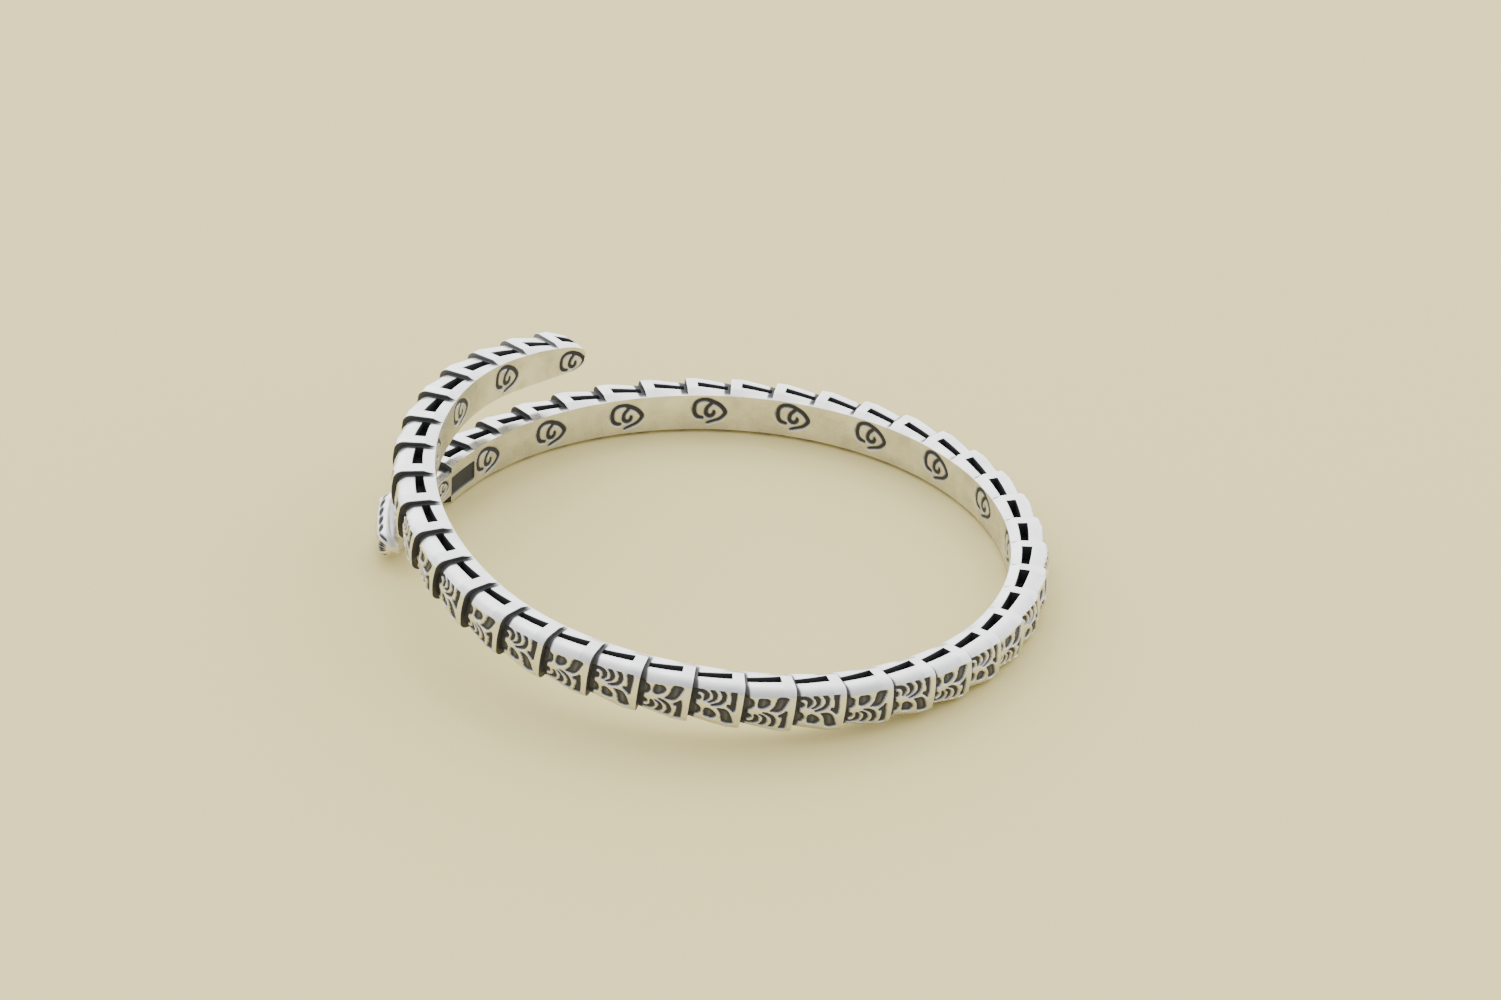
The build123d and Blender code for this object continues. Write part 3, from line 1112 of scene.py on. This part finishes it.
@dataclass
class TailTip:
    """First scale, which runs out to the rounded end of the tail."""

    band: Band
    start: float = 0.42
    edge_share: float = 0.3
    slot_start: float = 0.47
    # width of the slots and distance from the inner face, at their start and at the collar
    slot_width: tuple[float, float] = (0.85, 1.5)
    slot_wall: tuple[float, float] = (0.6, 0.92)
    bevel_share: float = 0.65
    # length and depth of the rounding of the end
    nose: float = 0.14
    nose_round: float = 0.5
    rings: tuple[Ring, ...] = (Ring(0.0, 0.28, 0.4), Ring(0.16, 0.46, 0.66),
                               Ring(0.45, 0.64, 0.88), Ring(1.0, 0.765, 1.06))
    scroll: SmallScroll = SmallScroll(-0.23, -0.3, 0.89, turn=0.09)

    @property
    def end(self) -> float:
        """Place where its collar ends, in scales."""
        return 1 + self.band.collar_length / self.band.pitch

    def stations(self) -> Rings:
        """Lay out the rings of the tip.

        Returns:
            The rings.
        """
        band = self.band
        body = np.concatenate([self.start + self.nose * np.array([0.0, 0.04, 0.12, 0.25, 0.42, 0.6, 0.8]),
                               np.linspace(self.start + self.nose, self.end - 0.06, 34)])
        rings = slotted_rings(body, self.slot_start, 1.0)
        rings += [(self.end - band.end_round / band.pitch * part, 0.0, 0.0)
                  for part in (1.6, 1.0, 0.6, 0.25, 0.0)]
        rings.append((self.end + HAIR, 0.0, 1.0))
        places, slots, dark = np.array(sorted(rings)).T
        return Rings(places, places - self.end + 1, np.ones(len(places), int), slots, dark)

    def section(self, rings: Rings) -> Section:
        """Size the tip's section.

        Args:
            rings: Rings of the tip.

        Returns:
            The section at each ring.
        """
        band, places = self.band, rings.places
        inside = np.clip((places - self.start) / (1 - self.start), 0.0, 1.0)
        size, deep = (np.where(places > 1.0, band.route.share(column, places),
                               hermite(self.rings, column, inside)) for column in ("height", "thickness"))
        half = band.band_height * size / 2
        thickness = band.route.band_thickness * deep
        # The section turns into the band's over the last fifth before the collar
        nearly = np.clip((places - 0.8) / 0.2, 0.0, 1.0)
        radius = (np.minimum(2 * half, thickness) * self.edge_share * (1 - nearly)
                  + band.edge_radius * size * nearly)
        bevel = (self.bevel_share * (1 - nearly) + band.inner_bevel * nearly) * thickness
        along_slot = np.clip((places - self.slot_start) / (1 - self.slot_start), 0.0, 1.0)
        wall, width = (low + (high - low) * along_slot for low, high in (self.slot_wall, self.slot_width))
        nose = np.clip(1 - (places - self.start) / self.nose, 0.0, 1.0)
        sink = np.clip(1 - (self.end - places) * band.pitch / band.end_round, 0.0, 1.0)
        inset = (band.skin + self.nose_round * (1 - np.sqrt(1 - nose ** 2 * 0.98))
                 + band.end_round * (1 - np.sqrt(1 - sink ** 2)) + band.wall_drop * (places > self.end))
        return Section(
            half=half, inner_half=half * (1 - 2 * band.foot_drop / band.band_height), thickness=thickness,
            bevel=np.minimum(bevel / band.route.band_thickness, wall - band.ledge),
            radius=radius, crown=band.outer_crown * size, relief_half=band.relief_reach() * size,
            slot_wall=wall, slot_width=width,
            slot_floor=(band.band_height / 2 - band.slot_depth) * size, slot_open=rings.slots, inset=inset)

    def build(self) -> bpy.types.Object:
        """Build the tail tip.

        Returns:
            The piece.
        """
        band, rings = self.band, self.stations()
        outline = band.maker.outline(self.section(rings))
        band.carve_relief(outline, rings)
        self.carve_scroll(outline, rings)
        before_end = rings.places < self.end
        outline.blacken(outline.slot * np.maximum(rings.slots, rings.dark * before_end)[:, None])
        outline.blacken((rings.places > self.end)[:, None] * band.off_inner(outline) * band.steps[0].film)
        return band.cast("tail_tip", outline, rings.places)

    def carve_scroll(self, outline: Outline, rings: Rings) -> None:
        """Engrave the smaller scroll of the tip.

        Args:
            outline: Points around each ring.
            rings: Rings of the tip.
        """
        band, small = self.band, self.scroll
        columns = outline.inner_columns()
        up = (outline.inner_place[:, columns] - small.up) / small.size
        along = -(rings.places[:, None] - band.scroll_place) * band.pitch - small.along
        along = along / small.size + 0 * up
        turned_along = along * cos(small.turn) + up * sin(small.turn)
        turned_up = up * cos(small.turn) - along * sin(small.turn)
        rise = hermite(band.scroll.centres, "rise", np.ones(1))[0]
        cut = band.scroll.cut(turned_along, turned_up + rise, np.ones_like(up))
        outline.sink(cut * band.scroll.depth, columns)
        outline.blacken(cut * small.film, columns)


@dataclass
class Head:
    """Flat wedge of a head at the other end, with its back outwards.

    Places along it are in millimetres from where the neck starts.
    """

    band: Band
    length: float = 13.7
    height: float = 5.2
    thickness: float = 3.8
    inner_share: float = 0.8
    edge_share: float = 0.35
    lift: float = 0.12
    rings: tuple[Ring, ...] = (
        Ring(0.0, 0.62, 0.72), Ring(0.2, 0.64, 0.7), Ring(0.42, 0.84, 0.74), Ring(0.62, 1.0, 0.98),
        Ring(0.86, 0.62, 0.7), Ring(0.96, 0.45, 0.56), Ring(1.0, 0.22, 0.35))
    eye_diameter: float = 1.4
    eye_spacing: float = 2.5
    eye_place: float = 0.6
    eye_sink: float = 0.44
    # where the neck starts, in scales
    start: float = 46.24379
    # distance of both mouth grooves from the edge of the back, and how they bend
    grooves: tuple[float, float] = (0.34, 0.95)
    groove_bend: float = 0.012
    groove_turn: float = 8.0
    groove_span: Span = Span(5.0, 13.2, 1.5, 0.6)
    lip_first: float = 9.45
    lip_pitch: float = 0.9
    lip_angle: float = 0.95
    lip_span: Span = Span(7.2, 12.5, 0.1, 0.1)
    # along, off the lip's line, half width of the two strokes at the snout
    snout_strokes: tuple = (((12.8, -0.2, 0.1), (13.08, 0.0, 0.17), (13.34, 0.2, 0.14)),
                            ((13.2, -0.62, 0.06), (13.36, -0.5, 0.1), (13.52, -0.38, 0.07)))
    small_length: float = 0.95
    small_height: float = 0.9
    small_span: Span = Span(0.5, 6.4, 0.6, 1.0)
    brow_span: Span = Span(6.6, 12.4, 0.8, 0.6)
    # along, off the middle
    nostril: tuple[float, float] = (12.8, 0.62)
    scroll: SmallScroll = SmallScroll(1.62, 0.22, 0.6)

    def build(self) -> list[bpy.types.Object]:
        """Build the head and its eyes.

        Returns:
            The head and both eyes.
        """
        band = self.band
        t = np.concatenate([np.linspace(0.0, 0.95, 96),
                            [0.96, 0.969, 0.977, 0.984, 0.99, 0.995, 0.9985, 1.0]])
        height = self.height * hermite(self.rings, "height", t)
        thickness = self.thickness * hermite(self.rings, "thickness", t)
        outline = band.maker.outline(self.section(t, height, thickness))
        self.carve(outline, t, height, thickness)
        lift = self.lift + np.maximum(0.0, height - band.band_height) / 2
        head = band.cast("head", outline, self.start + t * self.length / band.pitch, lift[:, None])
        return [head, self.eye("eye_up", 1), self.eye("eye_down", -1)]

    def section(self, t: np.ndarray, height: np.ndarray, thickness: np.ndarray) -> Section:
        """Size the head's section at each ring.

        Args:
            t: Each ring's share of the head's length.
            height: Height of each ring.
            thickness: Thickness of each ring.

        Returns:
            The sections, which have no slots.
        """
        band = self.band
        radius = thickness * self.edge_share
        end = np.clip((t - 0.96) / 0.04, 0.0, 1.0)
        return Section(
            half=height / 2, inner_half=height * self.inner_share / 2, thickness=thickness,
            bevel=band.inner_bevel * thickness / band.route.band_thickness, radius=radius,
            crown=band.outer_crown * height / band.band_height,
            relief_half=0.9 * (height / 2 - radius + radius * pi / 2),
            slot_wall=thickness * 0.4, slot_width=thickness * 0.1, slot_floor=height * 0.3,
            slot_open=np.zeros_like(t), inset=band.skin + 0.35 * (1 - np.sqrt(1 - 0.97 * end ** 2)))

    def carve(self, outline: Outline, t: np.ndarray, height: np.ndarray, thickness: np.ndarray) -> None:
        """Engrave the mouth, the lip scales, the brows, the nostrils and the small scales.

        Args:
            outline: Points around each ring.
            t: Each ring's share of the head's length.
            height: Height of each ring.
            thickness: Thickness of each ring.
        """
        y = outline.upwards
        along = (t * self.length)[:, None] * np.ones_like(y)
        lean = np.arctan2(np.abs(outline.normal_up), outline.normal_out)
        turn = (thickness * (1 - self.edge_share))[:, None]
        flank = np.abs(outline.normal_up) > 0.95
        front = outline.normal_out > -0.1
        mouth = self.mouth(along, outline.outwards - turn) * flank
        lips = self.lips(along, (lean - self.lip_angle) * (thickness * self.edge_share)[:, None]) * front
        small = self.small_scales(along, y, height) * (lean < 0.7)
        socket, brow = (line * (lean < 1.1) for line in self.brows(along, y))
        hole = np.hypot(along - self.nostril[0], np.abs(y) - self.nostril[1]) - 0.12
        nostril = step(hole, 0.14) * (lean < 0.6)
        scroll = self.scroll_cut(along, outline)
        cut = np.maximum.reduce([mouth * 0.5, lips, small * 0.8, socket, brow * 0.8, nostril, scroll])
        outline.sink(cut * self.band.scroll.depth)
        # Oxide in the step where the neck leaves the last collar, with painted shade from it over the start
        # of the neck
        neck = step(along - 0.75, 0.3) * self.band.off_inner(outline)
        # Faint painted shade along the middle of each flank, over the front half of the head, for the shadow
        # of the raised tail above it
        tail_shade = 0.2 * flank * step(np.abs(outline.outwards - turn * 0.55) - turn * 0.33, 0.3)
        tail_shade *= step(6.0 - along, 3.0)
        outline.blacken(np.maximum.reduce([neck, tail_shade, mouth * 0.4, lips, small * 0.85, socket,
                                           brow * 0.85, nostril, scroll * self.scroll.film]))
        outline.shine(self.band.land_polish * front)

    def mouth(self, along: np.ndarray, off_turn: np.ndarray) -> np.ndarray:
        """Draw the two shallow grooves of the mouth along each side.

        Args:
            along: Places along the head.
            off_turn: Distance outwards from the edge of the back.

        Returns:
            1 in the grooves and 0 off them.
        """
        bent = off_turn + self.groove_bend * (along - self.groove_turn) ** 2
        off = np.minimum.reduce([np.abs(bent + inset) for inset in self.grooves])
        return step(off - 0.06, 0.22) * self.groove_span.soften(along)

    def lips(self, along: np.ndarray, off_line: np.ndarray) -> np.ndarray:
        """Draw the row of lip scales along each edge of the back, and the strokes at the snout.

        Args:
            along: Places along the head.
            off_line: Distance from the line of the lip.

        Returns:
            1 in the cuts and 0 off them.
        """
        cell = (along - self.lip_first) / self.lip_pitch
        near = (cell - np.round(cell)) * self.lip_pitch
        dashes = step(np.hypot(near / 1.3, off_line + 0.25 * near) - 0.31, 0.14)
        snout = np.minimum.reduce([stroke(along, off_line, rows) for rows in self.snout_strokes])
        return np.maximum(dashes * self.lip_span.soften(along), step(snout, 0.13))

    def small_scales(self, along: np.ndarray, y: np.ndarray, height: np.ndarray) -> np.ndarray:
        """Draw small scales on the back of the head, in offset rows.

        Args:
            along: Places along the head.
            y: Heights from its middle.
            height: Height of each ring.

        Returns:
            1 on the scales' outlines and 0 off them.
        """
        row = np.floor(along / self.small_length)
        across = (y + (row % 2) * self.small_height / 2) / self.small_height
        cell_x = along / self.small_length - row - 0.05
        cell_y = across - np.floor(across) - 0.5
        arc = np.hypot(cell_x, cell_y * 1.15) - 0.62
        line = step(np.abs(arc) - 0.07, 0.16) * self.small_span.soften(along)
        return line * step(np.abs(y) - height[:, None] * 0.36, 0.5)

    def brows(self, along: np.ndarray, y: np.ndarray) -> tuple[np.ndarray, np.ndarray]:
        """Draw a ring round each eye, and the brow lines that run from the snout.

        Args:
            along: Places along the head.
            y: Heights from its middle.

        Returns:
            1 in the rings and 1 in the brow lines, and 0 off them.
        """
        eye = np.hypot(along - self.eye_place * self.length, np.abs(y) - self.eye_spacing / 2)
        socket = step(np.abs(eye - self.eye_diameter / 2 - 0.06) - 0.08, 0.16)
        brow = step(np.abs(np.abs(y) - 0.52 + 0.05 * (along - 7.0)) - 0.06, 0.14)
        return socket, brow * self.brow_span.soften(along)

    def scroll_cut(self, along: np.ndarray, outline: Outline) -> np.ndarray:
        """Draw the small scroll in the inner face of the neck.

        Args:
            along: Places along the head.
            outline: Points around each ring.

        Returns:
            1 in the scroll and 0 off it.
        """
        small = self.scroll
        inner = np.abs(outline.inner_place) < ELSEWHERE
        up = (outline.inner_place - small.up) / small.size
        number = np.full_like(up, self.band.runs[-1][1] + 1)
        return np.where(inner, self.band.scroll.cut((small.along - along) / small.size, up, number), 0.0)

    def eye(self, name: str, side: int) -> bpy.types.Object:
        """Build one eye.

        Args:
            name: Name of the piece.
            side: 1 for the upper eye and -1 for the lower one.

        Returns:
            The piece.
        """
        band = self.band
        bm = bmesh.new()
        bmesh.ops.create_uvsphere(bm, u_segments=32, v_segments=18, radius=self.eye_diameter / 2 * 0.97)
        place = np.array([self.start + self.eye_place * self.length / band.pitch])
        out = np.array([[self.thickness - self.eye_diameter * self.eye_sink]])
        up = np.array([[side * self.eye_spacing / 2]])
        centre = band.route.place(place, out, up)[0, 0]
        centre[2] += self.lift + max(0.0, self.height - band.band_height) / 2
        bmesh.ops.transform(bm, matrix=Matrix.Scale(MM, 4), verts=bm.verts)
        bmesh.ops.translate(bm, vec=Vector(centre * MM), verts=bm.verts)
        mesh = keep_mesh(name, bm)
        mesh.shade_smooth()
        return dress(put(name, mesh), band.material)


@dataclass(frozen=True)
class Studio:
    """Plain pale floor, soft light and the camera.

    The floor's and the lamp's sizes and places are in metres.
    """

    floor_size: float = 4.0
    floor_colour: tuple[float, float, float, float] = (0.73, 0.62, 0.255, 1.0)
    floor_roughness: float = 0.85
    sky_colour: tuple[float, float, float, float] = (0.93, 0.95, 1.0, 1.0)
    sky_front: float = 1.0
    sky_back: float = 4.25
    sky_fall: float = 1.5
    lamp_place: tuple[float, float, float] = (-0.55, 0.85, 0.8)
    lamp_size: float = 1.2
    lamp_power: float = 3.0
    target: tuple[float, float, float] = (3.673, 6.714, 4.88)
    distance: float = 520.16
    elevation: float = 29.59
    roll: float = 3.0
    lens: float = 121.86
    sensor: float = 36.0
    # nearest and farthest that the camera sees, in metres
    sight: tuple[float, float] = (0.01, 20.0)

    def floor(self) -> bpy.types.Object:
        """Lay the floor.

        Returns:
            The floor.
        """
        bm = bmesh.new()
        bmesh.ops.create_grid(bm, x_segments=1, y_segments=1, size=self.floor_size / 2)
        floor = put("floor", keep_mesh("floor", bm))
        material = bpy.data.materials.new("floor")
        material.use_nodes = True
        shader = material.node_tree.nodes["Principled BSDF"]
        shader.inputs["Base Color"].default_value = self.floor_colour
        shader.inputs["Roughness"].default_value = self.floor_roughness
        floor.data.materials.append(material)
        return floor

    def sky(self) -> bpy.types.World:
        """Make a pale sky that grows brighter from the front to behind the cuff.

        Returns:
            The world, set as the scene's own.
        """
        world = bpy.data.worlds.new("studio")
        world.use_nodes = True
        wiring = Wiring(world.node_tree)
        towards_back = wiring.add("SeparateXYZ", {"Vector": wiring.add("TexCoord", {}, "Generated")}, "Y")
        share = wiring.add("MapRange", {"Value": towards_back, "From Min": -1.0})
        curve = wiring.add("Math", {0: share, 1: self.sky_fall}, "Value", operation="POWER")
        wiring.feed(world.node_tree.nodes["Background"], {
            "Color": self.sky_colour, "Strength": wiring.span(curve, self.sky_front, self.sky_back)})
        bpy.context.scene.world = world
        return world

    def lamp(self) -> bpy.types.Object:
        """Hang a weak soft lamp behind the cuff on the left.

        Returns:
            The lamp.
        """
        data = bpy.data.lights.new("lamp", "AREA")
        data.shape = "DISK"
        data.size = self.lamp_size
        data.energy = self.lamp_power
        lamp = put("lamp", data)
        lamp.location = self.lamp_place
        lamp.rotation_euler = (-Vector(self.lamp_place)).to_track_quat("-Z", "Y").to_euler()
        return lamp

    def camera(self) -> bpy.types.Object:
        """Set the camera at the photograph's angle.

        Returns:
            The camera.
        """
        data = bpy.data.cameras.new("camera")
        data.lens = self.lens
        data.sensor_width = self.sensor
        data.sensor_fit = "HORIZONTAL"
        data.clip_start, data.clip_end = self.sight
        camera = put("camera", data)
        target = Vector(self.target) * MM
        away = Vector((0.0, -cos(radians(self.elevation)), sin(radians(self.elevation))))
        place = target + away * self.distance * MM
        turn = (target - place).to_track_quat("-Z", "Y").to_matrix().to_4x4()
        camera.matrix_world = Matrix.Translation(place) @ turn @ Matrix.Rotation(radians(self.roll), 4, "Z")
        bpy.context.scene.camera = camera
        return camera


def report(piece: bpy.types.Object) -> None:
    """Log a piece's name and its number of triangles."""
    count = sum(len(face.vertices) - 2 for face in piece.data.polygons)
    log.info("%s: %d triangles", piece.name, count)


def main() -> None:
    """Build the cuff, the floor, the light and the camera."""
    logging.basicConfig(level=logging.INFO, format="%(name)s %(message)s")
    studio = Studio()
    studio.floor()
    studio.sky()
    studio.lamp()
    studio.camera()
    band = Band(route=Route(), material=SilverFinish().build("cast_silver"))
    for piece in band.build():
        report(piece)
    report(TailTip(band).build())
    for piece in Head(band).build():
        report(piece)


if __name__ == "__main__":
    main()
